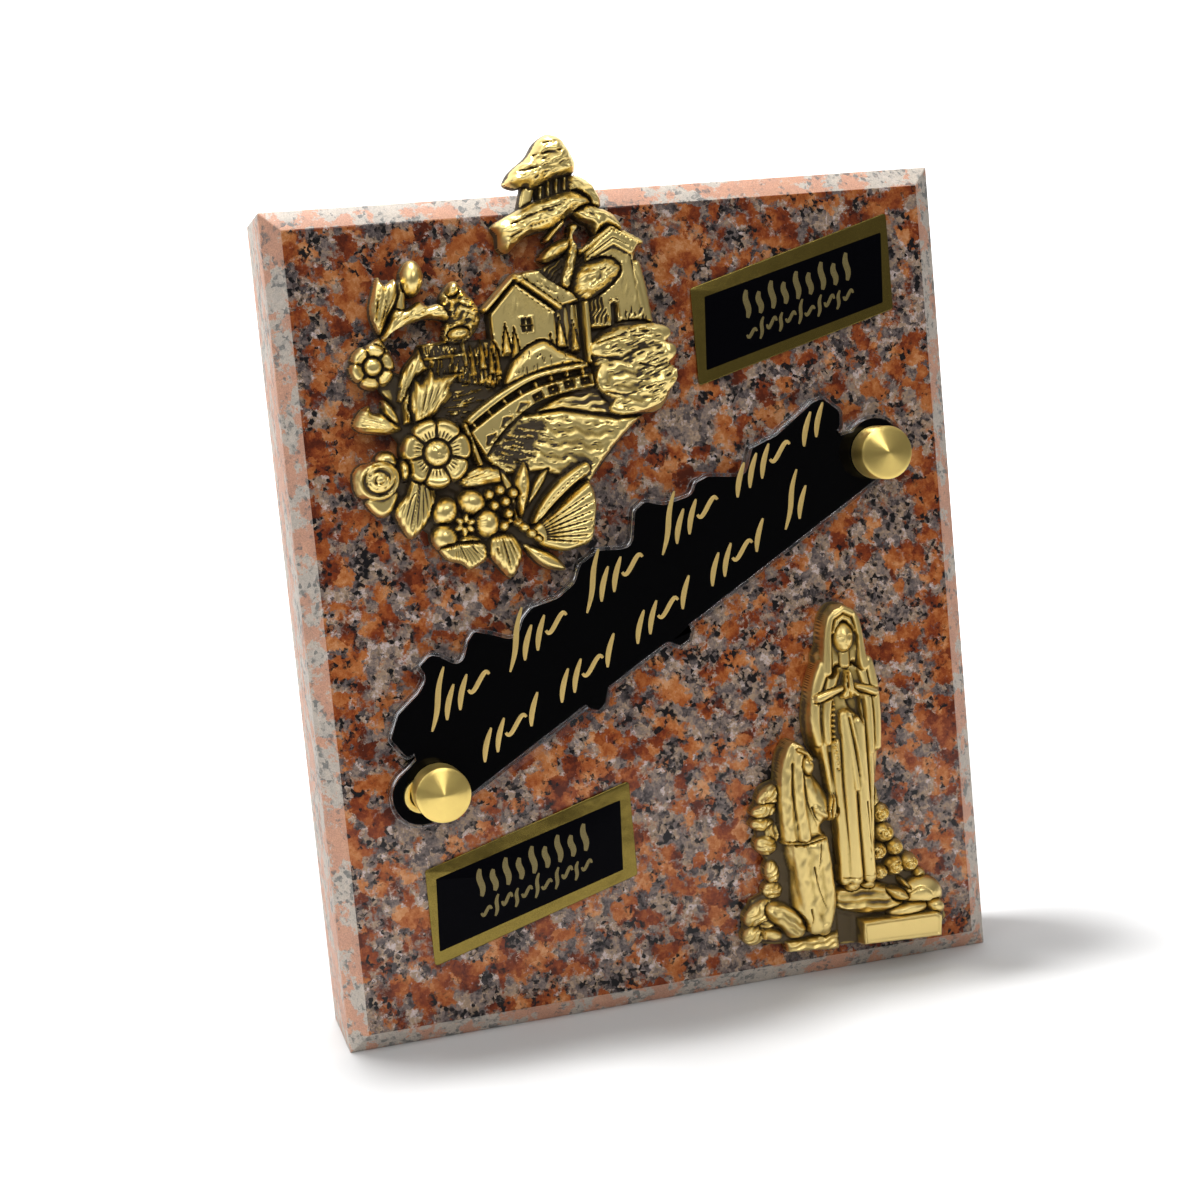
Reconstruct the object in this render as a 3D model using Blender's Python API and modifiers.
"""Memorial plaque: a polished granite slab with two cast reliefs, an inscription plate and two labels.

The slab stands upright on its underside. Its front looks along -Y, its width lies on X and its height
on Z. The origin is the middle of the underside. Lengths at the top are in metres. The two reliefs are
drawn in millimetres, as seen from the front, and are scaled to their named heights when they are made.
"""
import math

import bmesh
import bpy
import numpy as np
from mathutils import Vector

# Granite slab
SLAB_WIDTH = 0.150
SLAB_HEIGHT = 0.180
SLAB_THICKNESS = 0.030
CHAMFER_WIDTH = 0.0042
CHAMFER_DEPTH = 0.0030

# The face as its pieces are drawn here: on a slab of another size they keep their share of it
DRAWN_FACE_WIDTH = 0.150
DRAWN_FACE_HEIGHT = 0.180
FACE_SCALE = min(SLAB_WIDTH / DRAWN_FACE_WIDTH, SLAB_HEIGHT / DRAWN_FACE_HEIGHT)

# What is glued to the slab stands clear of it by the thickness of the glue
GLUE_GAP = 0.0003

# Inscription plate: its two lobes hold the holes, and the line between them slopes
PLATE_LENGTH = 0.1269
PLATE_THICKNESS = 0.0030
PLATE_SLOPE = math.radians(30.3)
PLATE_LOBE_RADIUS = 0.0070
PLATE_MIDDLE_X = 0.0002
PLATE_MIDDLE_Z = 0.0870

# Screws with turned caps, and the sleeves that line the plate's holes
CAP_RADIUS = 0.0059
CAP_HEIGHT = 0.0080
CAP_CONE = 0.0014
SHANK_RADIUS = 0.0019
SHANK_IN_SLAB = 0.0120
SLEEVE_RADIUS = 0.0037
SLEEVE_WALL = 0.0012
FIT_GAP = 0.0003
LOWER_SCREW_SHIFT = 0.0036
UPPER_SCREW_SHIFT = -0.0009
SCREW_DROP = 0.0011
ROUND_STEPS = 28

# Labels: leaning parallelograms with upright ends
LABEL_WIDTH = 0.0470
LABEL_HEIGHT = 0.0213
LABEL_THICKNESS = 0.0005
LABEL_SLOPE = math.radians(15.6)
LABEL_CORNER = 0.0008
UPPER_LABEL_X = 0.0394
UPPER_LABEL_Z = 0.1531
LOWER_LABEL_X = -0.0317
LOWER_LABEL_Z = 0.0341

# Landscape relief: it is set above the plate, and its crown stands past the slab's top edge
LANDSCAPE_HEIGHT = 0.0924
LANDSCAPE_DEPTH = 0.0080
LANDSCAPE_X = -0.0260
LANDSCAPE_FOOT = 0.0993
LANDSCAPE_TRIANGLES = 4850

# Figure relief
FIGURES_HEIGHT = 0.0786
FIGURES_DEPTH = 0.0080
FIGURES_X = 0.0380
FIGURES_FOOT = 0.0062
FIGURES_TRIANGLES = 2950

# Drawn sizes of the two reliefs, in millimetres: the deepest form, the grid that carries the drawing,
# and the thickness of the casting at its edge
DRAWN_DEPTH = 8.0
DRAWN_CELL = 0.4
CAST_EDGE = 1.6
# Each drawing's height, and the place in it that is set at the relief's place on the face
LANDSCAPE_DRAWN_HEIGHT = 92.4
LANDSCAPE_DRAWN_FOOT = (-26.0, 99.3)
FIGURES_DRAWN_HEIGHT = 78.6
FIGURES_DRAWN_FOOT = (38.0, 6.2)
# How far an edge vertex may move to meet the drawn outline, and the least slope trusted there
SNAP_REACH = 0.4
LEAST_SLOPE = 0.3
# Vertices this close to the relief's back are laid flat on it
FLAT_BACK_REACH = 0.0004


def clear_scene():
    """Remove every object, so the script gives the same result wherever it runs."""
    for old in list(bpy.data.objects):
        bpy.data.objects.remove(old, do_unlink=True)


def new_collection(name):
    """Return a new collection linked to the scene."""
    collection = bpy.data.collections.new(name)
    bpy.context.scene.collection.children.link(collection)
    return collection


def surface(name, colour, roughness, metallic):
    """Return a plain Principled material."""
    material = bpy.data.materials.new(name)
    material.use_nodes = True
    shader = material.node_tree.nodes["Principled BSDF"]
    shader.inputs["Base Color"].default_value = (*colour, 1.0)
    shader.inputs["Roughness"].default_value = roughness
    shader.inputs["Metallic"].default_value = metallic
    return material


def put(name, mesh, collection, material=None):
    """Link a mesh as a named object and give it its material."""
    thing = bpy.data.objects.new(name, mesh)
    collection.objects.link(thing)
    if material:
        mesh.materials.clear()
        mesh.materials.append(material)
    return thing


def mesh_from(bm, name):
    """Turn a bmesh into a mesh with its faces pointing out."""
    bmesh.ops.recalc_face_normals(bm, faces=bm.faces)
    mesh = bpy.data.meshes.new(name)
    bm.to_mesh(mesh)
    bm.free()
    return mesh


def arc(x, z, radius, start, end, steps):
    """Return points on an arc, in degrees from +X towards +Z, both ends included."""
    angles = [math.radians(start + (end - start) * i / steps) for i in range(steps + 1)]
    return [(x + radius * math.cos(a), z + radius * math.sin(a)) for a in angles]


def rounded(corners, radius, steps=3):
    """Round every corner of an outline with a short arc of the given radius."""
    points = []
    count = len(corners)
    for i in range(count):
        corner = Vector(corners[i])
        back = Vector(corners[i - 1]) - corner
        ahead = Vector(corners[(i + 1) % count]) - corner
        half = back.angle(ahead) / 2
        reach = min(radius / math.tan(half), 0.45 * back.length, 0.45 * ahead.length)
        start = corner + back.normalized() * reach
        end = corner + ahead.normalized() * reach
        for k in range(steps + 1):
            t = k / steps
            point = start * (1 - t) ** 2 + corner * 2 * t * (1 - t) + end * t ** 2
            points.append((point.x, point.y))
    return points


def flat_piece(name, outlines, thickness, front_of, collection, material):
    """Extrude flat outlines, the first one solid and the others holes, into a plate on the front.

    front_of is how far the plate's back stands in front of the slab's face.
    """
    curve = bpy.data.curves.new(name + "_outline", "CURVE")
    curve.dimensions = "2D"
    curve.fill_mode = "BOTH"
    curve.extrude = thickness / 2
    for outline in outlines:
        spline = curve.splines.new("POLY")
        spline.points.add(len(outline) - 1)
        spline.use_cyclic_u = True
        for point, (x, z) in zip(spline.points, outline):
            point.co = (x, z, 0.0, 1.0)
    drawn = put(name + "_drawn", curve, collection)
    drawn.rotation_euler = (math.radians(90), 0.0, 0.0)
    drawn.location = (0.0, -SLAB_THICKNESS / 2 - front_of - thickness / 2, 0.0)
    bpy.context.view_layer.update()
    mesh = bpy.data.meshes.new_from_object(drawn.evaluated_get(bpy.context.evaluated_depsgraph_get()))
    mesh.transform(drawn.matrix_world)
    bpy.data.objects.remove(drawn, do_unlink=True)
    bpy.data.curves.remove(curve)
    bm = bmesh.new()
    bm.from_mesh(mesh)
    bpy.data.meshes.remove(mesh)
    bmesh.ops.remove_doubles(bm, verts=bm.verts, dist=0.00001)
    return put(name, mesh_from(bm, name), collection, material)


def turned(name, profile, x, z, collection, material):
    """Turn a profile of (radius, distance in front of the slab's face) pairs about a level axis."""
    bm = bmesh.new()
    verts = [bm.verts.new((radius, 0.0, height)) for radius, height in profile]
    for a, b in zip(verts, verts[1:]):
        bm.edges.new((a, b))
    mesh = bpy.data.meshes.new(name)
    bm.to_mesh(mesh)
    bm.free()
    thing = put(name, mesh, collection, material)
    thing.rotation_euler = (math.radians(90), 0.0, 0.0)
    thing.location = (x, -SLAB_THICKNESS / 2, z)
    screw = thing.modifiers.new("Turn", "SCREW")
    screw.angle = 2 * math.pi
    screw.steps = ROUND_STEPS
    screw.render_steps = ROUND_STEPS
    screw.use_merge_vertices = True
    screw.merge_threshold = 0.00001
    return thing


def on_face(x, z):
    """Return where a drawn place on the face lies on the slab as it is sized."""
    return x * SLAB_WIDTH / DRAWN_FACE_WIDTH, z * SLAB_HEIGHT / DRAWN_FACE_HEIGHT


def plate_point(along, up):
    """Turn a place in the plate's own sloping frame into x and z on the slab's face."""
    middle_x, middle_z = on_face(PLATE_MIDDLE_X, PLATE_MIDDLE_Z)
    along -= PLATE_LENGTH * FACE_SCALE / 2
    x = middle_x + along * math.cos(PLATE_SLOPE) - up * math.sin(PLATE_SLOPE)
    z = middle_z + along * math.sin(PLATE_SLOPE) + up * math.cos(PLATE_SLOPE)
    return x, z


def screw_places():
    """Return where the two screws stand on the face, the lower one first."""
    lower = plate_point(LOWER_SCREW_SHIFT, -SCREW_DROP)
    upper = plate_point(PLATE_LENGTH * FACE_SCALE + UPPER_SCREW_SHIFT, -SCREW_DROP)
    return lower, upper


def granite_slab(collection, cutters, material):
    """A block with a chamfer round its front face and two drilled holes for the screws."""
    bm = bmesh.new()
    bmesh.ops.create_cube(bm, size=1.0)
    block_depth = SLAB_THICKNESS - CHAMFER_DEPTH
    bmesh.ops.scale(bm, vec=(SLAB_WIDTH, block_depth, SLAB_HEIGHT), verts=bm.verts)
    bmesh.ops.translate(bm, vec=(0.0, CHAMFER_DEPTH / 2, SLAB_HEIGHT / 2), verts=bm.verts)
    front = [face for face in bm.faces if face.normal.y < -0.5]
    bmesh.ops.inset_region(bm, faces=front, thickness=CHAMFER_WIDTH, depth=0.0)
    bmesh.ops.translate(bm, vec=(0.0, -CHAMFER_DEPTH, 0.0), verts=front[0].verts)
    slab = put("granite_slab", mesh_from(bm, "granite_slab"), collection, material)
    for i, (x, z) in enumerate(screw_places()):
        bm = bmesh.new()
        depth = 2 * (SHANK_IN_SLAB + FIT_GAP)
        radius = SHANK_RADIUS + FIT_GAP
        bmesh.ops.create_cone(bm, cap_ends=True, segments=ROUND_STEPS, radius1=radius, radius2=radius,
                              depth=depth)
        drill = put("drill_%d" % i, mesh_from(bm, "drill_%d" % i), cutters)
        drill.rotation_euler = (math.radians(90), 0.0, 0.0)
        drill.location = (x, -SLAB_THICKNESS / 2, z)
        drill.hide_render = True
        drill.display_type = "WIRE"
        cut = slab.modifiers.new("Hole %d" % i, "BOOLEAN")
        cut.operation = "DIFFERENCE"
        cut.object = drill
    return slab


# The plate's edge in its own frame, in millimetres along and across the line of its two holes: first
# the stretch above the upper line of strokes, from right to left, then the edge below the lower line
PLATE_DRAWN_LENGTH = 126.9
PLATE_TOP_EDGE = [
    (122.9, 7.5), (125.2, 11.1), (123.4, 16.6), (120.3, 17.3), (109.3, 16.3), (102.9, 17.4),
    (98.2, 13.4), (91.6, 18.3), (88.0, 18.8), (85.8, 17.2), (79.9, 19.1), (76.8, 22.4), (73.2, 22.0),
    (68.2, 16.0), (62.3, 19.9), (56.6, 19.8), (53.4, 17.4), (48.8, 17.0), (42.9, 18.8), (39.6, 18.0),
    (36.2, 15.3), (32.6, 19.8), (30.0, 22.4), (27.2, 21.3), (23.3, 18.0), (21.4, 22.3), (19.3, 24.0),
    (15.2, 23.2), (15.4, 20.2), (12.6, 18.9), (6.1, 17.8), (1.2, 14.3), (1.7, 7.7),
]
PLATE_DESCENDERS = [(38.2, 0.0), (41.6, -3.0), (44.2, -2.4), (46.6, 0.0),
                    (62.4, 0.0), (64.2, -2.6), (67.4, -2.6), (70.4, 0.0)]
PLATE_CORNER_ROUNDING = 2.2


def plate_edge():
    """Return the plate's whole outline on the slab's face."""
    length = PLATE_LENGTH * FACE_SCALE
    unit = length / PLATE_DRAWN_LENGTH
    lobe = PLATE_LOBE_RADIUS * FACE_SCALE
    lower_lobe = arc(0.0, 0.0, lobe, 92, 270, 14)
    upper_lobe = arc(length, 0.0, lobe, -90, 112, 18)
    rounding = PLATE_CORNER_ROUNDING * unit
    below = rounded([(a * unit, -lobe + u * unit) for a, u in PLATE_DESCENDERS], rounding / 2, 2)
    above = rounded([(a * unit, u * unit) for a, u in PLATE_TOP_EDGE], rounding, 2)
    return [plate_point(a, u) for a, u in lower_lobe + below + upper_lobe + above]


def slot(start, end, radius):
    """Return the outline of a slot with round ends between two places on the face."""
    heading = math.degrees(math.atan2(end[1] - start[1], end[0] - start[0]))
    half = ROUND_STEPS // 2
    return (arc(end[0], end[1], radius, heading - 90, heading + 90, half)
            + arc(start[0], start[1], radius, heading + 90, heading + 270, half))


def label_outline(x, z):
    """Return a label's leaning outline about its middle."""
    half_width = LABEL_WIDTH * FACE_SCALE / 2
    half_height = LABEL_HEIGHT * FACE_SCALE / 2
    rise = half_width * math.tan(LABEL_SLOPE)
    corners = [(x - half_width, z - half_height - rise), (x + half_width, z - half_height + rise),
               (x + half_width, z + half_height + rise), (x - half_width, z + half_height - rise)]
    return rounded(corners, LABEL_CORNER)


class Relief:
    """A cast relief as a height over the face, with how far each place lies inside its outline."""

    def __init__(self, left, right, foot, top):
        self.left = left
        self.foot = foot
        self.columns = int(round((right - left) / DRAWN_CELL))
        self.rows = int(round((top - foot) / DRAWN_CELL))
        across = left + DRAWN_CELL * np.arange(self.columns + 1)
        upward = foot + DRAWN_CELL * np.arange(self.rows + 1)
        self.x, self.z = np.meshgrid(across, upward, indexing="ij")
        self.inside = np.full(self.x.shape, -9.0)
        self.height = np.full(self.x.shape, CAST_EDGE)

    def oval(self, x, z, half_length, half_width, turn=0.0):
        """Return how far each place lies inside an oval turned by degrees from +X."""
        a = math.radians(turn)
        u = (self.x - x) * math.cos(a) + (self.z - z) * math.sin(a)
        v = (self.z - z) * math.cos(a) - (self.x - x) * math.sin(a)
        reach = np.hypot(u / half_length, v / half_width)
        return (1.0 - reach) * min(half_length, half_width)

    def outline(self, *corners):
        """Return how far each place lies inside a straight-sided outline."""
        nearest = np.full(self.x.shape, 1e9)
        within = np.zeros(self.x.shape, bool)
        for (x0, z0), (x1, z1) in zip(corners, corners[1:] + corners[:1]):
            dx, dz = x1 - x0, z1 - z0
            t = ((self.x - x0) * dx + (self.z - z0) * dz) / (dx * dx + dz * dz)
            t = np.clip(t, 0.0, 1.0)
            nearest = np.minimum(nearest, np.hypot(self.x - x0 - t * dx, self.z - z0 - t * dz))
            if dz:
                crossing = x0 + (self.z - z0) * dx / dz
                spans = (self.z >= min(z0, z1)) & (self.z < max(z0, z1))
                within ^= spans & (self.x < crossing)
        return np.where(within, nearest, -nearest)

    def bar(self, x0, z0, x1, z1, width, end_width=None):
        """Return how far each place lies inside a round-ended bar that may taper."""
        end_width = width if end_width is None else end_width
        dx, dz = x1 - x0, z1 - z0
        t = np.clip(((self.x - x0) * dx + (self.z - z0) * dz) / (dx * dx + dz * dz), 0.0, 1.0)
        gap = np.hypot(self.x - x0 - t * dx, self.z - z0 - t * dz)
        return (width + (end_width - width) * t) / 2 - gap

    def leaf(self, x0, z0, x1, z1, width, belly=0.5):
        """Return how far each place lies inside a leaf from its stalk to its tip."""
        length = math.hypot(x1 - x0, z1 - z0)
        ux, uz = (x1 - x0) / length, (z1 - z0) / length
        along = ((self.x - x0) * ux + (self.z - z0) * uz) / length
        across = (self.z - z0) * ux - (self.x - x0) * uz
        share = np.clip(along, 0.0, 1.0) ** (math.log(0.5) / math.log(belly))
        half = width / 2 * np.sin(math.pi * share) ** 0.8
        beyond = np.maximum(-along, along - 1.0).clip(0.0) * length
        return (half - np.abs(across)) * 0.8 - beyond

    def under_arc(self, places):
        """Return how far each place lies inside the circle through three places."""
        x, z, radius = circle_through(*places)
        return radius - np.hypot(self.x - x, self.z - z)

    def between_arcs(self, upper, lower, left, right, foot):
        """Return how far each place lies between two arcs, each given by three places on it."""
        inner = np.minimum(self.under_arc(upper), -self.under_arc(lower))
        return np.minimum(np.minimum(inner, self.z - foot), np.minimum(self.x - left, right - self.x))

    def form(self, inside, top, edge, foot=CAST_EDGE):
        """Raise a form with a rounded edge, and widen the casting's outline to hold it."""
        share = np.clip(inside / edge, 0.0, 1.0)
        raised = foot + (top - foot) * np.sqrt(1.0 - (1.0 - share) ** 2)
        self.height = np.where(inside > 0.0, np.maximum(self.height, raised), self.height)
        self.inside = np.maximum(self.inside, inside)

    def sink(self, inside, floor, edge):
        """Lower a hollow in the casting down to a floor, with sloping sides."""
        share = np.clip(inside / edge, 0.0, 1.0)
        lowered = self.height + (np.minimum(floor, self.height) - self.height) * share
        self.height = np.where(inside > 0.0, lowered, self.height)

    def groove(self, inside, depth):
        """Cut a shallow rounded groove along a bar."""
        share = np.clip(inside / np.maximum(inside.max(), 0.01), 0.0, 1.0)
        self.height = np.maximum(self.height - depth * share, CAST_EDGE)

    def pierce(self, inside):
        """Cut a hole right through the casting."""
        self.inside = np.minimum(self.inside, -inside)

    def cells(self):
        """Return which cells are metal: one connected piece, with no two cells meeting at a point."""
        inside = self.inside
        middle = (inside[1:, 1:] + inside[:-1, 1:] + inside[1:, :-1] + inside[:-1, :-1]) / 4
        metal = middle > 0.0
        start = np.unravel_index(np.argmax(middle), middle.shape)
        joined = np.zeros_like(metal)
        joined[start] = True
        count = 0
        while joined.sum() > count:
            count = joined.sum()
            for axis in (0, 1):
                for step in (1, -1):
                    moved = np.roll(joined, step, axis)
                    joined |= moved & metal
        changed = True
        while changed:
            a, b = joined[:-1, :-1], joined[1:, 1:]
            c, d = joined[1:, :-1], joined[:-1, 1:]
            rising = a & b & ~c & ~d
            falling = c & d & ~a & ~b
            joined[1:, :-1] |= rising
            joined[:-1, :-1] |= falling
            changed = bool(rising.any() or falling.any())
        return joined


def circle_through(first, second, third):
    """Return the centre and radius of the circle through three places."""
    (ax, az), (bx, bz), (cx, cz) = first, second, third
    d = 2 * (ax * (bz - cz) + bx * (cz - az) + cx * (az - bz))
    a2, b2, c2 = ax * ax + az * az, bx * bx + bz * bz, cx * cx + cz * cz
    x = (a2 * (bz - cz) + b2 * (cz - az) + c2 * (az - bz)) / d
    z = (a2 * (cx - bx) + b2 * (ax - cx) + c2 * (bx - ax)) / d
    return x, z, math.hypot(ax - x, az - z)


# Three places on each curve of the bridge: the rail, then the deck with its panels
RAIL_TOP = ((-39.5, 131.4), (-24.5, 141.5), (-8.5, 143.6))
RAIL_FOOT = ((-39.5, 129.6), (-24.5, 140.0), (-8.5, 142.2))
DECK_TOP = ((-37.4, 127.0), (-24.5, 138.6), (-7.5, 141.3))
DECK_FOOT = ((-33.6, 123.2), (-22.5, 134.7), (-7.5, 137.9))
PANEL_LINE = ((-35.5, 125.0), (-23.5, 136.6), (-7.5, 139.6))


def draw_tree_tiers(relief):
    """The tall tree at the top: a crown, two tiers of boughs and the small bough under them."""
    relief.form(relief.bar(-13.5, 166.0, -12.5, 176.0, 7.0), 2.2, 1.0)
    relief.form(relief.bar(-17.5, 179.5, -8.0, 181.0, 5.0), 2.6, 1.0)
    relief.form(relief.outline((-23.6, 181.6), (-22.2, 184.2), (-18.4, 187.2), (-15.8, 190.6),
                               (-13.5, 191.8), (-10.9, 190.8), (-9.0, 187.8), (-8.2, 184.6),
                               (-9.2, 182.6), (-13.0, 182.0), (-17.4, 180.4), (-19.6, 181.4)), 6.2, 3.0)
    relief.form(relief.oval(-13.2, 187.6, 4.6, 3.4, 60), 7.0, 3.2)
    relief.form(relief.oval(-15.6, 184.0, 7.6, 2.3, 20), 7.0, 2.2)
    relief.form(relief.oval(-6.5, 179.6, 4.0, 3.4, -50), 5.6, 3.0)
    relief.form(relief.oval(-20.4, 172.4, 6.9, 3.4, 20), 6.8, 3.2)
    relief.form(relief.oval(-13.0, 175.9, 8.4, 3.1, 12), 7.0, 3.0)
    relief.form(relief.oval(-4.2, 174.4, 5.8, 2.9, -42), 6.2, 2.8)
    relief.form(relief.oval(-14.3, 167.2, 3.7, 2.1, 27), 6.4, 2.0)
    relief.groove(relief.bar(-21.0, 183.0, -9.0, 187.2, 1.4), 1.2)
    relief.groove(relief.bar(-25.0, 171.0, -8.0, 177.2, 1.4), 1.2)


def draw_buildings(relief):
    """The gabled tower on the right and the cottage with its roof, window and side wall."""
    relief.form(relief.outline((-9.0, 150.0), (-8.2, 166.3), (-1.7, 171.4), (4.3, 167.8), (3.6, 163.6),
                               (4.9, 156.0), (5.2, 149.0)), 4.4, 2.2)
    for x0, z0, x1, z1 in ((-8.0, 166.6, -1.7, 171.0), (-1.7, 171.0, 3.8, 167.4)):
        relief.form(relief.bar(x0, z0, x1, z1, 1.6), 5.2, 0.7)
    relief.form(relief.outline((-30.0, 146.0), (-30.0, 155.4), (-23.9, 162.0), (-15.3, 155.4),
                               (-15.3, 146.0)), 4.4, 0.6)
    relief.form(relief.outline((-15.6, 146.0), (-15.6, 155.8), (-10.0, 156.0), (-10.0, 146.0)), 3.6, 0.6)
    relief.form(relief.outline((-24.0, 163.3), (-17.5, 163.3), (-9.8, 156.4), (-15.2, 155.4)), 5.0, 0.8)
    for x0, z0, x1, z1 in ((-30.3, 156.0, -24.0, 162.6), (-24.0, 162.6, -15.0, 156.0)):
        relief.form(relief.bar(x0, z0, x1, z1, 1.5), 5.8, 0.7)
    relief.sink(relief.outline((-23.8, 150.3), (-23.8, 153.9), (-20.7, 153.9), (-20.7, 150.3)), 3.2, 0.5)
    relief.sink(relief.bar(-2.7, 150.8, -2.7, 154.6, 1.6), 2.8, 0.5)


def draw_garden(relief):
    """The round tree, the spiked shrubs, the mound, the fence and the rough grass."""
    relief.form(relief.bar(-8.7, 144.0, -8.7, 157.0, 1.8), 5.4, 0.8)
    relief.form(relief.oval(-6.0, 161.2, 6.0, 3.5, 18), 7.4, 3.3)
    relief.form(relief.oval(-8.4, 158.2, 3.8, 2.6, 30), 7.0, 2.4)
    mound = relief.oval(-17.5, 139.0, 10.8, 10.2)
    relief.form(np.minimum(mound, -relief.under_arc(RAIL_FOOT)), 4.8, 3.0)
    for x, tip, width in ((-32.6, 149.0, 2.6), (-30.4, 149.6, 2.4), (-27.6, 151.4, 2.6),
                          (-25.3, 151.9, 2.4), (-14.7, 153.0, 3.4), (-12.3, 151.4, 2.6),
                          (-18.4, 148.8, 2.2)):
        relief.form(relief.leaf(x, tip - 10.0, x, tip, width, 0.45), 5.4, 1.2)
    relief.form(relief.outline((-45.2, 146.0), (-45.2, 150.0), (-35.0, 150.0), (-35.0, 146.0)), 3.4, 0.6)
    relief.form(relief.outline((-45.5, 139.5), (-45.5, 146.6), (-28.0, 147.6), (-28.0, 141.0),
                               (-36.0, 138.0)), 3.2, 1.0)


def draw_bridge_and_water(relief):
    """The humped bridge with its rail and panels, the rocks, and the water that runs under it."""
    relief.form(relief.outline((-36.0, 124.5), (-24.0, 136.5), (-8.0, 139.5), (3.5, 132.4), (-3.6, 126.9),
                               (-10.9, 117.8), (-14.0, 112.0), (-30.0, 112.0), (-36.0, 118.0)), 3.0, 0.8)
    relief.form(relief.between_arcs(RAIL_TOP, RAIL_FOOT, -39.5, -9.0, 128.0), 6.4, 0.6)
    relief.form(relief.between_arcs(DECK_TOP, DECK_FOOT, -36.6, -7.5, 123.0), 6.8, 0.8)
    x, z, radius = circle_through(*PANEL_LINE)
    for i in range(7):
        angle = math.radians(91.0 + 10.0 * i)
        px, pz = x + radius * math.cos(angle), z + radius * math.sin(angle)
        relief.sink(relief.oval(px, pz, 1.5, 1.0, math.degrees(angle) - 90), 4.6, 0.6)
    relief.form(relief.oval(-1.0, 141.4, 8.6, 9.2, 20), 7.0, 5.0)
    relief.form(relief.oval(3.6, 139.6, 6.2, 7.6, 25), 6.6, 4.0)
    relief.form(relief.oval(1.5, 148.6, 6.0, 2.6, 5), 6.6, 2.4)
    for i in range(5):
        relief.groove(relief.bar(-6.6 + 1.6 * i, 145.4 - 3.0 * i, 1.0 + i, 145.2 - 2.6 * i, 1.3), 1.3)
        relief.groove(relief.bar(1.0 + i, 145.2 - 2.6 * i, 9.0, 148.0 - 2.8 * i, 1.3), 1.3)
    for i in range(3):
        relief.groove(relief.bar(-27.0 + 2.0 * i, 129.0 - 3.6 * i, -4.0 - 3.0 * i, 127.5 - 3.4 * i, 1.2),
                      0.8)


def draw_left_sprig(relief):
    """The bud, the serrated spray and the twiggy bush above the flowers."""
    relief.form(relief.oval(-45.3, 163.9, 3.8, 2.5, 82), 6.4, 2.4)
    relief.form(relief.leaf(-52.6, 153.0, -51.4, 165.6, 5.4, 0.5), 5.4, 2.0)
    relief.form(relief.leaf(-51.0, 157.5, -48.0, 164.2, 3.0, 0.5), 4.6, 1.2)
    spray = ((-52.8, 151.8, 1.6), (-50.2, 155.4, 2.8), (-47.0, 157.0, 3.4), (-43.4, 157.4, 3.6),
             (-38.0, 156.0, 3.0))
    for (x0, z0, w0), (x1, z1, w1) in zip(spray, spray[1:]):
        relief.form(relief.bar(x0, z0, x1, z1, w0, w1), 5.2, 1.3)
    for x, z in ((-50.0, 158.6), (-46.4, 160.0), (-42.6, 159.8)):
        relief.form(relief.leaf(x + 1.2, z - 3.0, x, z, 2.2), 4.8, 0.9)
    relief.form(relief.oval(-36.2, 155.6, 5.2, 4.6, 100), 6.2, 3.6)
    relief.form(relief.oval(-36.6, 160.0, 2.8, 2.2, 30), 5.6, 2.0)
    relief.form(relief.oval(-33.8, 151.8, 3.0, 2.2, 0), 5.2, 2.0)


def draw_blossom(relief, x, z, boss, petals, reach, petal_length, petal_width, start, tops):
    """A flower: a ring of rounded petals about a domed boss."""
    boss_top, petal_top = tops
    for i in range(petals):
        angle = start + 360.0 * i / petals
        px = x + reach * math.cos(math.radians(angle))
        pz = z + reach * math.sin(math.radians(angle))
        relief.form(relief.oval(px, pz, petal_length, petal_width, angle), petal_top, petal_width)
    relief.groove(relief.oval(x, z, boss + 0.9, boss + 0.9), 1.4)
    relief.form(relief.oval(x, z, boss, boss), boss_top, boss)


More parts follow.
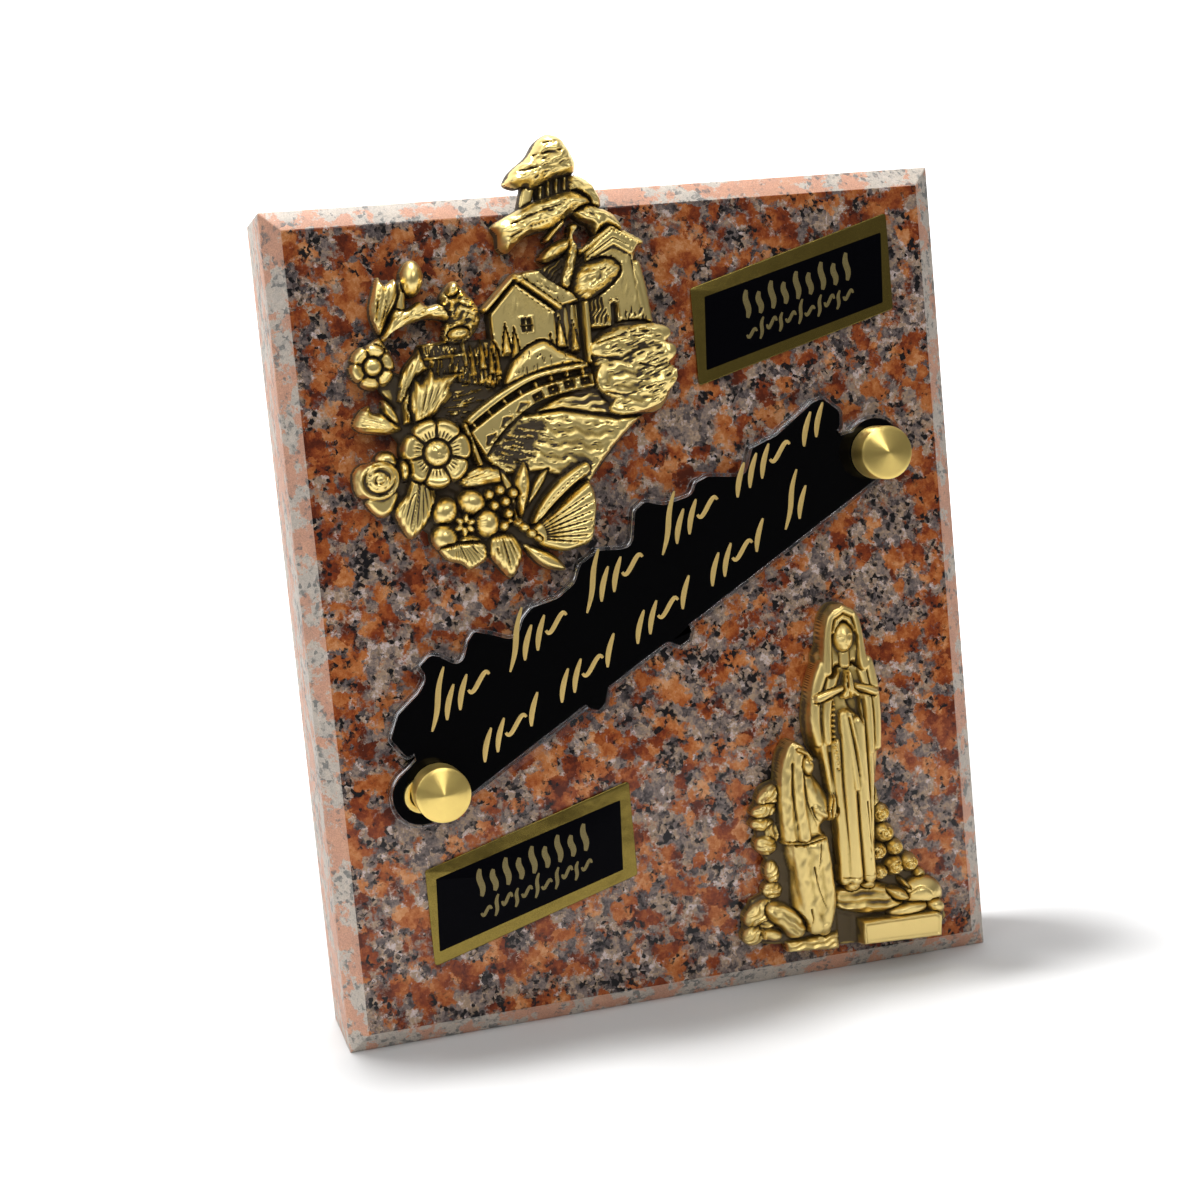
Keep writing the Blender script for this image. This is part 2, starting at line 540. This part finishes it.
def draw_flowers(relief):
    """The border of flowers, leaves, buds and berries from the left edge round to the foot."""
    relief.form(relief.bar(-56.0, 145.4, -48.0, 141.0, 4.0), 3.2, 1.5)
    relief.form(relief.bar(-57.0, 121.0, -46.0, 124.0, 6.0), 3.2, 2.0)
    relief.form(relief.bar(-50.0, 134.0, -46.0, 128.0, 7.0), 3.2, 2.0)
    relief.form(relief.bar(-50.0, 118.0, -38.0, 108.0, 8.0), 3.2, 2.0)
    relief.form(relief.bar(-52.0, 142.0, -47.0, 136.0, 5.0), 3.0, 2.0)
    relief.form(relief.leaf(-53.0, 151.4, -61.0, 146.4, 3.0, 0.4), 4.4, 1.2)
    draw_blossom(relief, -55.6, 146.2, 2.2, 6, 3.1, 1.9, 1.6, 15.0, (6.6, 5.2))
    relief.form(relief.leaf(-51.4, 139.0, -45.0, 149.6, 3.6, 0.6), 4.8, 1.4)
    relief.form(relief.leaf(-48.5, 139.5, -42.6, 146.2, 3.0, 0.6), 4.4, 1.2)
    relief.form(relief.leaf(-48.0, 134.4, -36.8, 143.4, 6.0, 0.55), 6.6, 2.4)
    relief.form(relief.leaf(-46.6, 137.6, -42.6, 145.0, 4.4, 0.6), 6.4, 1.8)
    relief.form(relief.leaf(-48.2, 135.0, -46.8, 143.8, 3.6, 0.6), 5.8, 1.6)
    relief.form(relief.leaf(-50.2, 133.2, -61.2, 135.4, 5.6, 0.62), 5.6, 2.2)
    relief.form(relief.leaf(-52.0, 134.4, -57.0, 138.8, 3.6, 0.6), 5.2, 1.5)
    relief.form(relief.leaf(-50.6, 133.0, -53.6, 138.8, 2.2, 0.55), 5.0, 1.0)
    draw_blossom(relief, -44.2, 126.9, 3.2, 7, 4.7, 2.9, 2.5, 9.0, (7.8, 6.4))
    relief.form(relief.oval(-58.4, 123.0, 3.4, 2.6, 70), 5.2, 2.2)
    relief.form(relief.leaf(-57.8, 121.0, -56.6, 115.2, 5.0, 0.5), 5.0, 2.0)
    relief.form(relief.oval(-54.6, 126.6, 2.0, 1.4, -30), 4.6, 1.2)
    relief.form(relief.oval(-56.8, 122.6, 4.2, 3.8, 20), 6.6, 1.8)
    relief.groove(np.minimum(relief.oval(-56.8, 122.6, 3.2, 2.9), -relief.oval(-56.8, 122.6, 2.0, 1.8)), 1.4)
    relief.form(relief.oval(-51.2, 124.2, 2.5, 1.3, 85), 5.8, 1.2)
    relief.form(relief.leaf(-49.0, 121.4, -52.4, 110.0, 5.4, 0.6), 5.6, 2.2)
    relief.form(relief.leaf(-46.0, 120.0, -50.2, 112.4, 4.0, 0.5), 5.2, 1.6)
    relief.form(relief.leaf(-41.0, 122.8, -30.0, 120.2, 4.4, 0.45), 5.8, 1.8)
    for i in range(5):
        angle = math.radians(20.0 + 72.0 * i)
        x, z = -39.7 + 4.4 * math.cos(angle), 111.7 + 4.4 * math.sin(angle)
        relief.form(relief.oval(x, z, 2.3, 2.3), 6.8, 2.2)
    for i in range(5):
        angle = math.radians(56.0 + 72.0 * i)
        x, z = -39.7 + 1.7 * math.cos(angle), 111.7 + 1.7 * math.sin(angle)
        relief.form(relief.oval(x, z, 0.9, 0.9), 6.0, 0.9)
    for x, z in ((-33.8, 117.5), (-31.5, 117.8), (-33.0, 115.1), (-30.8, 115.3), (-30.5, 112.9),
                 (-31.6, 110.7)):
        relief.form(relief.oval(x, z, 1.15, 1.15), 6.4, 1.1)
    relief.form(relief.leaf(-27.2, 110.5, -25.6, 123.4, 3.6, 0.6), 5.8, 1.4)
    relief.form(relief.leaf(-27.4, 112.0, -30.2, 123.2, 2.4, 0.6), 4.6, 1.0)
    relief.form(relief.leaf(-26.0, 113.0, -20.4, 122.0, 2.2, 0.6), 4.4, 1.0)
    relief.form(relief.leaf(-33.0, 110.0, -30.4, 99.6, 5.8, 0.66), 5.4, 2.2)
    relief.form(relief.leaf(-40.0, 108.0, -36.6, 102.2, 4.6, 0.6), 4.6, 1.8)
    relief.form(relief.leaf(-37.0, 107.6, -41.6, 103.8, 3.4, 0.6), 4.4, 1.5)
    relief.form(relief.leaf(-28.2, 107.4, -18.4, 99.8, 4.0, 0.62), 4.8, 1.5)


def draw_butterfly(relief):
    """The butterfly at the foot: two fanned wings with ribs, and a small body."""
    relief.form(relief.outline((-25.4, 110.4), (-22.0, 116.0), (-17.2, 120.4), (-12.4, 122.2),
                               (-11.6, 119.6), (-15.5, 117.2), (-20.0, 113.4)), 6.4, 1.0)
    relief.form(relief.outline((-25.4, 109.4), (-20.0, 113.6), (-15.5, 116.6), (-11.7, 117.6),
                               (-10.9, 113.0), (-11.6, 108.0), (-13.8, 104.6), (-18.6, 104.0),
                               (-23.4, 105.0)), 6.0, 1.4)
    for i in range(5):
        angle = math.radians(-14.0 + 11.0 * i)
        relief.groove(relief.bar(-22.5, 109.0 + 0.3 * i, -25.0 + 14.6 * math.cos(angle),
                                 108.6 + 14.6 * math.sin(angle), 1.0), 0.8)
    relief.form(relief.oval(-27.6, 110.6, 1.5, 0.9, -20), 5.6, 0.8)
    relief.form(relief.oval(-26.6, 108.6, 1.7, 1.0, -30), 6.0, 0.9)


def draw_landscape():
    """Draw the landscape relief: a garden scene framed by flowers."""
    relief = Relief(-64.0, 12.0, 97.0, 194.0)
    relief.form(relief.outline((-45.5, 150.0), (-30.2, 150.0), (-30.2, 156.0), (-24.0, 162.5),
                               (-17.0, 163.0), (-8.0, 166.0), (3.8, 166.0), (5.0, 150.0), (8.0, 140.0),
                               (2.0, 132.0), (-10.9, 118.0), (-13.0, 108.0), (-22.0, 106.5),
                               (-40.0, 106.5), (-46.0, 112.0), (-48.0, 126.0), (-50.0, 134.0),
                               (-50.0, 141.0)), 2.2, 1.0)
    draw_garden(relief)
    draw_buildings(relief)
    relief.form(relief.oval(-6.0, 161.2, 6.0, 3.5, 18), 7.4, 3.3)
    draw_bridge_and_water(relief)
    draw_tree_tiers(relief)
    draw_left_sprig(relief)
    draw_flowers(relief)
    draw_butterfly(relief)
    relief.pierce(relief.oval(-46.5, 152.9, 5.6, 2.0, 14))
    relief.pierce(relief.oval(-41.5, 152.9, 2.4, 1.9, 60))
    relief.pierce(relief.oval(-8.0, 169.9, 2.6, 2.3, 40))
    return relief


def draw_standing_figure(relief):
    """The standing figure: veil, face, mantle, robe with folds, and joined hands."""
    relief.form(relief.outline((37.6, 78.0), (46.9, 78.0), (48.9, 70.5), (50.0, 66.4), (50.2, 58.0),
                               (49.4, 50.0), (48.0, 43.0), (46.2, 36.0), (45.6, 21.0), (37.8, 21.0),
                               (37.0, 42.0), (35.6, 50.4), (33.4, 54.0), (32.7, 60.0), (34.0, 66.0),
                               (36.0, 71.0)), 4.6, 3.0)
    relief.form(relief.oval(42.2, 78.4, 4.9, 6.3), 7.0, 3.6)
    relief.form(relief.bar(39.0, 77.0, 37.6, 70.0, 3.0, 4.0), 6.0, 1.8)
    relief.form(relief.bar(45.8, 77.0, 47.6, 70.0, 2.4, 3.4), 5.8, 1.6)
    relief.sink(relief.oval(42.8, 77.0, 2.9, 4.4), 5.2, 0.6)
    relief.form(relief.oval(42.8, 77.8, 2.3, 3.1), 7.4, 2.3)
    relief.form(relief.outline((38.8, 63.5), (45.6, 63.5), (45.4, 44.0), (44.8, 22.0), (39.0, 22.0),
                               (38.4, 44.0)), 6.6, 2.6)
    relief.form(relief.outline((37.0, 72.0), (40.4, 70.6), (41.8, 66.6), (41.4, 62.4), (39.4, 56.0),
                               (36.4, 52.6), (33.6, 55.0), (33.0, 60.0), (34.2, 66.0)), 6.6, 2.2)
    relief.form(relief.outline((47.6, 72.0), (45.2, 69.6), (44.2, 65.6), (46.2, 62.6), (46.6, 52.0),
                               (48.2, 50.4), (49.8, 58.0), (49.6, 66.0)), 6.4, 1.7)
    relief.sink(relief.outline((42.2, 63.6), (45.8, 63.6), (45.8, 57.0), (44.6, 58.6)), 4.4, 0.7)
    relief.form(relief.leaf(42.6, 62.6, 42.8, 71.4, 3.4, 0.45), 8.0, 1.6)
    for x0, z0, x1, z1 in ((40.6, 58.0, 39.6, 24.0), (44.2, 57.0, 41.8, 44.0), (43.0, 42.0, 42.6, 24.0),
                           (46.0, 56.0, 46.0, 46.0), (37.8, 54.0, 38.0, 40.0), (35.4, 64.4, 40.6, 65.2),
                           (37.8, 63.4, 36.2, 55.0), (45.8, 64.4, 48.8, 64.6)):
        relief.groove(relief.bar(x0, z0, x1, z1, 1.6), 1.3)
    relief.form(relief.oval(40.6, 21.2, 1.9, 1.2, 10), 6.4, 1.1)
    relief.form(relief.oval(44.0, 21.0, 1.9, 1.2, -10), 6.4, 1.1)


def draw_kneeling_figure(relief):
    """The kneeling figure: veiled head bowed to the right, raised hands, skirt and bare feet."""
    relief.form(relief.outline((24.4, 47.0), (33.0, 50.0), (38.0, 41.4), (38.0, 37.0), (35.2, 34.6),
                               (34.6, 32.0), (24.8, 32.4), (24.0, 40.0)), 6.2, 3.0)
    relief.form(relief.oval(28.4, 50.2, 4.9, 5.2), 7.4, 3.6)
    relief.form(relief.oval(31.4, 49.2, 1.9, 2.6, 10), 6.6, 1.6)
    relief.form(relief.bar(29.4, 51.6, 27.4, 34.6, 3.6, 4.6), 7.6, 2.0)
    relief.form(relief.bar(31.6, 42.0, 36.6, 38.6, 4.4, 3.0), 7.2, 1.8)
    relief.form(relief.leaf(36.4, 37.0, 36.6, 43.6, 2.4, 0.5), 7.0, 1.2)
    relief.form(relief.outline((25.4, 33.4), (35.0, 33.4), (35.8, 26.0), (35.8, 15.6), (30.4, 13.4),
                               (25.4, 10.6), (26.2, 20.0)), 7.2, 3.2)
    relief.form(relief.oval(24.4, 15.6, 5.4, 3.6, -12), 6.4, 3.0)
    relief.form(relief.oval(20.8, 12.6, 2.6, 1.8, -20), 5.6, 1.6)
    relief.sink(relief.bar(25.0, 32.4, 34.6, 32.0, 0.9), 5.4, 0.4)
    for x0, z0, x1, z1 in ((26.0, 48.0, 25.8, 34.0), (30.6, 50.0, 31.4, 34.0), (30.0, 30.0, 31.8, 17.0),
                           (33.6, 30.0, 33.8, 18.0)):
        relief.groove(relief.bar(x0, z0, x1, z1, 1.6), 1.3)


def draw_rocks(relief):
    """The rocks and roses on both sides, the resting lamb, the ledge and the bare nameplate."""
    relief.form(relief.outline((25.0, 47.0), (21.0, 45.5), (19.6, 40.0), (20.0, 31.6), (21.6, 28.6),
                               (21.4, 22.0), (17.0, 20.6), (14.4, 12.4), (20.0, 10.0), (24.0, 9.4),
                               (36.0, 7.2), (61.0, 6.2), (62.4, 14.0), (57.0, 22.0), (53.0, 29.0),
                               (50.0, 37.0), (47.6, 44.0), (46.0, 50.0), (38.0, 52.0), (33.0, 50.0)),
                2.4, 1.0)
    for x, z, rx, rz, turn, top in (
            (23.2, 43.8, 3.4, 2.4, 30, 4.6), (21.4, 40.6, 3.4, 1.8, 10, 4.6), (21.0, 37.6, 3.0, 1.7, -5, 4.2),
            (21.2, 32.8, 2.8, 2.4, -20, 4.6), (22.2, 26.4, 1.7, 2.9, 5, 4.0), (22.0, 22.2, 2.4, 2.2, 0, 3.8),
            (18.6, 17.6, 4.4, 2.8, 30, 4.8), (16.6, 12.8, 2.8, 2.4, 20, 4.4),
            (47.4, 40.4, 1.5, 4.4, 8, 4.2), (48.6, 36.0, 2.8, 2.6, 30, 5.0), (49.0, 31.8, 3.2, 2.6, -20, 5.4),
            (47.6, 27.4, 2.8, 2.4, 10, 5.2), (51.4, 28.2, 2.4, 2.2, 0, 5.4), (51.0, 24.0, 3.0, 2.6, 15, 5.8),
            (54.6, 24.2, 2.6, 2.4, -30, 5.4), (47.6, 22.6, 2.4, 2.0, 0, 5.4)):
        relief.form(relief.oval(x, z, rx, rz, turn), top, min(rx, rz))
    relief.form(relief.outline((36.2, 17.4), (36.4, 20.6), (46.0, 20.6), (53.0, 16.4), (50.0, 13.6),
                               (41.0, 14.4)), 5.6, 1.6)
    relief.form(relief.oval(57.6, 16.0, 5.4, 4.2, -8), 6.6, 3.4)
    relief.form(relief.oval(51.6, 16.2, 3.6, 2.2, 40), 6.2, 1.8)
    relief.form(relief.oval(54.0, 12.8, 6.0, 1.6, 0), 5.8, 1.4)
    relief.form(relief.outline((23.8, 10.2), (36.4, 10.8), (36.4, 6.4), (24.2, 7.6)), 4.2, 1.2)
    relief.form(relief.oval(33.0, 12.0, 1.8, 2.0, 0), 5.4, 1.5)
    relief.form(relief.outline((41.2, 7.0), (41.4, 12.8), (59.8, 12.6), (61.4, 11.6), (61.0, 6.0)), 6.6, 0.7)


def draw_figures():
    """Draw the figure relief: one figure stands in prayer and another kneels before it."""
    relief = Relief(11.0, 66.0, 3.0, 88.0)
    draw_rocks(relief)
    draw_standing_figure(relief)
    draw_kneeling_figure(relief)
    return relief


def relief_solid(name, relief, datum, unit, depth, place, triangles, collection, material):
    """Make a relief's drawing a closed solid with a flat back, scaled to its size and set in place."""
    metal = relief.cells()
    slope_x, slope_z = np.gradient(relief.inside, DRAWN_CELL)
    steep = np.maximum(np.hypot(slope_x, slope_z), LEAST_SLOPE)
    bm = bmesh.new()
    bmesh.ops.create_grid(bm, x_segments=relief.columns, y_segments=relief.rows, size=0.5)
    spare = []
    for face in bm.faces:
        middle = face.calc_center_median()
        i = int((middle.x + 0.5) * relief.columns)
        j = int((middle.y + 0.5) * relief.rows)
        if not metal[i, j]:
            spare.append(face)
    bmesh.ops.delete(bm, geom=spare, context="FACES")
    heights = {}
    for vert in bm.verts:
        i = int(round((vert.co.x + 0.5) * relief.columns))
        j = int(round((vert.co.y + 0.5) * relief.rows))
        x, z = relief.x[i, j], relief.z[i, j]
        if vert.is_boundary:
            gap = float(np.clip(relief.inside[i, j], -SNAP_REACH, SNAP_REACH))
            x -= gap * slope_x[i, j] / steep[i, j]
            z -= gap * slope_z[i, j] / steep[i, j]
        vert.co = Vector((x, 0.0, z))
        heights[vert.index] = float(relief.height[i, j])
    rise = {vert: heights[vert.index] * depth / DRAWN_DEPTH for vert in bm.verts}
    grown = bmesh.ops.extrude_face_region(bm, geom=bm.faces[:])["geom"]
    fronts = [item for item in grown if isinstance(item, bmesh.types.BMVert)]
    by_place = {(round(v.co.x, 4), round(v.co.z, 4)): r for v, r in rise.items()}
    for vert in fronts:
        vert.co.y = -by_place[(round(vert.co.x, 4), round(vert.co.z, 4))]
    back = -SLAB_THICKNESS / 2 - GLUE_GAP
    for vert in bm.verts:
        vert.co = Vector((place[0] + (vert.co.x - datum[0]) * unit, back + vert.co.y,
                          place[1] + (vert.co.z - datum[1]) * unit))
    bmesh.ops.triangulate(bm, faces=bm.faces)
    count = len(bm.faces)
    full = put(name + "_full", mesh_from(bm, name + "_full"), collection)
    thin = full.modifiers.new("Fewer faces", "DECIMATE")
    thin.ratio = triangles / count
    bpy.context.view_layer.update()
    mesh = bpy.data.meshes.new_from_object(full.evaluated_get(bpy.context.evaluated_depsgraph_get()))
    bpy.data.objects.remove(full, do_unlink=True)
    for vert in mesh.vertices:
        if vert.co.y > back - FLAT_BACK_REACH:
            vert.co.y = back
    mesh.name = name
    return put(name, mesh, collection, material)


def build():
    """Build every piece of the plaque."""
    clear_scene()
    plaque = new_collection("memorial_plaque")
    cutters = new_collection("cutters")
    granite = surface("polished_granite", (0.36, 0.17, 0.11), 0.16, 0.0)
    bronze = surface("antique_bronze", (0.56, 0.42, 0.18), 0.34, 1.0)
    satin_bronze = surface("satin_bronze", (0.60, 0.50, 0.28), 0.42, 1.0)
    acrylic = surface("black_acrylic", (0.006, 0.006, 0.007), 0.06, 0.0)
    brass = surface("turned_brass", (0.86, 0.64, 0.25), 0.22, 1.0)
    label_metal = surface("label_gold", (0.55, 0.45, 0.15), 0.25, 1.0)

    granite_slab(plaque, cutters, granite)
    relief_solid("landscape_relief", draw_landscape(), LANDSCAPE_DRAWN_FOOT,
                 FACE_SCALE * LANDSCAPE_HEIGHT / LANDSCAPE_DRAWN_HEIGHT, LANDSCAPE_DEPTH,
                 on_face(LANDSCAPE_X, LANDSCAPE_FOOT), LANDSCAPE_TRIANGLES, plaque, bronze)
    relief_solid("figure_relief", draw_figures(), FIGURES_DRAWN_FOOT,
                 FACE_SCALE * FIGURES_HEIGHT / FIGURES_DRAWN_HEIGHT, FIGURES_DEPTH,
                 on_face(FIGURES_X, FIGURES_FOOT), FIGURES_TRIANGLES, plaque, satin_bronze)

    screws = screw_places()
    lobes = (plate_point(0.0, 0.0), plate_point(PLATE_LENGTH * FACE_SCALE, 0.0))
    plate_front = GLUE_GAP + PLATE_THICKNESS
    holes = [slot(lobe, screw, SLEEVE_RADIUS + FIT_GAP) for lobe, screw in zip(lobes, screws)]
    flat_piece("inscription_plate", [plate_edge()] + holes, PLATE_THICKNESS, GLUE_GAP, plaque, acrylic)
    for end, lobe, (x, z) in zip(("lower", "upper"), lobes, screws):
        flat_piece("screw_sleeve_" + end,
                   [slot(lobe, (x, z), SLEEVE_RADIUS), slot(lobe, (x, z), SLEEVE_RADIUS - SLEEVE_WALL)],
                   PLATE_THICKNESS, GLUE_GAP, plaque, brass)
        seat = plate_front + FIT_GAP
        profile = [(0.0, seat + CAP_HEIGHT), (CAP_RADIUS, seat + CAP_HEIGHT - CAP_CONE),
                   (CAP_RADIUS, seat), (SHANK_RADIUS, seat), (SHANK_RADIUS, -SHANK_IN_SLAB),
                   (0.0, -SHANK_IN_SLAB)]
        turned("screw_cap_" + end, profile, x, z, plaque, brass)
    for name, place in (("label_upper", (UPPER_LABEL_X, UPPER_LABEL_Z)),
                        ("label_lower", (LOWER_LABEL_X, LOWER_LABEL_Z))):
        flat_piece(name, [label_outline(*on_face(*place))], LABEL_THICKNESS, GLUE_GAP, plaque,
                   label_metal)


build()
